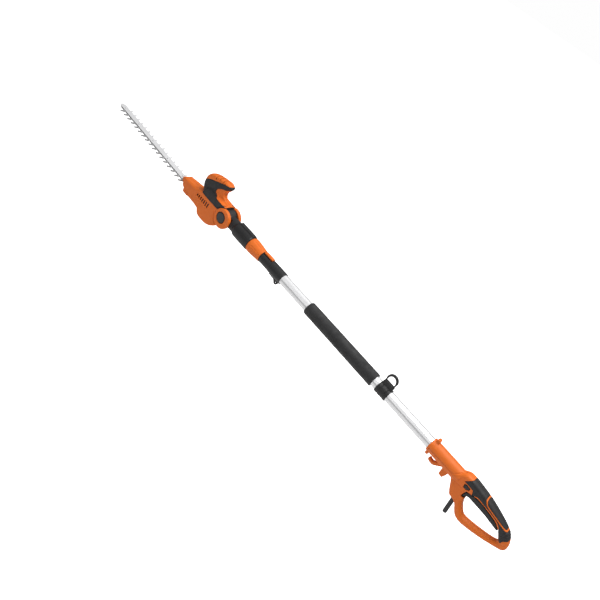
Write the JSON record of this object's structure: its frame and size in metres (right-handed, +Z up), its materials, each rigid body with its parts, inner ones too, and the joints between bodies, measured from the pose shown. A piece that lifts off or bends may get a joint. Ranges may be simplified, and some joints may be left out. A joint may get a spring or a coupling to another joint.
{
  "type": "pole hedge trimmer",
  "caption": "Corded pole hedge trimmer: twin reciprocating blades on a tilting motor head, a coupled aluminium pole with foam grip, and a closed rear handle with trigger.",
  "frame": {"origin": "on the pole's axis, at the front rim of the rear handle, where the bare pole meets the handle", "axes": "+X runs along the pole toward the user, so the blades point toward -X; +Z is up, the side the strap eye and the head's hook stand on; -Y is the machine's left as the user holds it"},
  "size_m": [1.9418, 0.0644, 0.2266],
  "materials": {
    "orange_plastic": "satin moulded orange plastic with a fine texture",
    "black_plastic": "satin moulded black plastic",
    "soft_grip": "matt overmoulded soft grip",
    "foam": "fine closed-cell foam",
    "cable_rubber": "black rubber",
    "pole_aluminium": "bright drawn aluminium tube",
    "gear_aluminium": "die-cast aluminium",
    "blade_steel": "brushed steel",
    "fastener_steel": "zinc-plated steel",
    "gear_steel": "dark machined steel",
    "bronze": "sintered bronze and copper",
    "carbon": "pressed carbon"
  },
  "bodies": {
    "pole": {"pole_tube": "pole_aluminium", "pole_lead": "cable_rubber", "pole_socket": "black_plastic", "knuckle": "black_plastic", "pivot_pin": "fastener_steel", "index_plates": "fastener_steel", "pivot_springs": "fastener_steel", "foam_grip": "foam", "strap_clamp": "black_plastic", "handle_shell_left": "orange_plastic", "handle_shell_right": "orange_plastic", "handle_grip_left": "soft_grip", "handle_grip_right": "soft_grip", "handle_screws": "fastener_steel", "trigger_spring": "fastener_steel", "trigger_pin": "fastener_steel", "power_switch": "black_plastic", "cord_sleeve": "cable_rubber", "supply_cord": "cable_rubber"},
    "release_latch": {"release_latch": "orange_plastic"},
    "twist_collar": {"twist_collar": "orange_plastic"},
    "trigger": {"trigger": "black_plastic"},
    "lock_off_button": {"lock_off_button": "black_plastic"},
    "head": {"head_shell_left": "orange_plastic", "head_shell_right": "orange_plastic", "head_screws": "fastener_steel", "head_pad_left": "soft_grip", "head_pad_right": "soft_grip", "gear_case": "gear_aluminium", "gear_plate": "gear_aluminium", "gear_bushes": "bronze", "motor_bearings": "fastener_steel", "motor_stator": "gear_steel", "brush_carrier": "black_plastic", "carbon_brushes": "carbon", "blade_rail": "blade_steel", "guide_screws": "fastener_steel", "rail_bolts": "fastener_steel", "nose_cover": "orange_plastic"},
    "armature": {"armature_shaft": "gear_steel", "armature_core": "gear_steel", "commutator": "bronze", "cooling_fan": "black_plastic"},
    "drive_gear": {"drive_gear": "gear_steel", "eccentric_shaft": "gear_steel"},
    "upper_blade": {"upper_blade": "blade_steel"},
    "lower_blade": {"lower_blade": "blade_steel"},
    "pivot_button_left": {"pivot_button_left": "black_plastic"},
    "pivot_button_right": {"pivot_button_right": "black_plastic"}
  },
  "joints": [
    {"name": "head_tilt", "type": "hinge", "parent": "pole", "child": "head", "pos_m": [-0.9615, 0, 0], "axis": [0, 1, 0], "range_deg": [-60, 45]},
    {"name": "upper_blade_slide", "type": "slide", "parent": "head", "child": "upper_blade", "axis": [0.9994, 0, -0.0349], "range_m": [-0.004, 0.004]},
    {"name": "lower_blade_slide", "type": "slide", "parent": "head", "child": "lower_blade", "axis": [0.9994, 0, -0.0349], "range_m": [-0.004, 0.004]},
    {"name": "armature_spin", "type": "hinge", "parent": "head", "child": "armature", "pos_m": [-1.02336, 0, 0.00216], "axis": [0.0349, 0, 0.9994], "continuous": true},
    {"name": "drive_gear_spin", "type": "hinge", "parent": "head", "child": "drive_gear", "pos_m": [-1.04645, 0, 0.00297], "axis": [0.0349, 0, 0.9994], "continuous": true},
    {"name": "pivot_button_left_press", "type": "slide", "parent": "head", "child": "pivot_button_left", "axis": [0, 1, 0], "range_m": [0, 0.004], "stiffness_N_per_m": 400},
    {"name": "pivot_button_right_press", "type": "slide", "parent": "head", "child": "pivot_button_right", "axis": [0, -1, 0], "range_m": [0, 0.004], "stiffness_N_per_m": 400},
    {"name": "twist_collar_turn", "type": "hinge", "parent": "pole", "child": "twist_collar", "pos_m": [-0.8, 0, 0], "axis": [1, 0, 0], "range_deg": [0, 60]},
    {"name": "release_latch_press", "type": "slide", "parent": "pole", "child": "release_latch", "axis": [0, 0, -1], "range_m": [0, 0.002], "stiffness_N_per_m": 300},
    {"name": "trigger_pull", "type": "hinge", "parent": "pole", "child": "trigger", "pos_m": [0.262, 0, -0.0115], "axis": [0, 1, 0], "range_deg": [0, 4], "deforming": ["trigger_spring"]},
    {"name": "lock_off_press", "type": "slide", "parent": "pole", "child": "lock_off_button", "axis": [0, 1, 0], "range_m": [0, 0.003], "stiffness_N_per_m": 200}
  ],
  "couplings": [
    {"joint": "lower_blade_slide", "follows": "upper_blade_slide", "ratio": -1},
    {"joint": "drive_gear_spin", "follows": "armature_spin", "ratio": -0.17857}
  ]
}
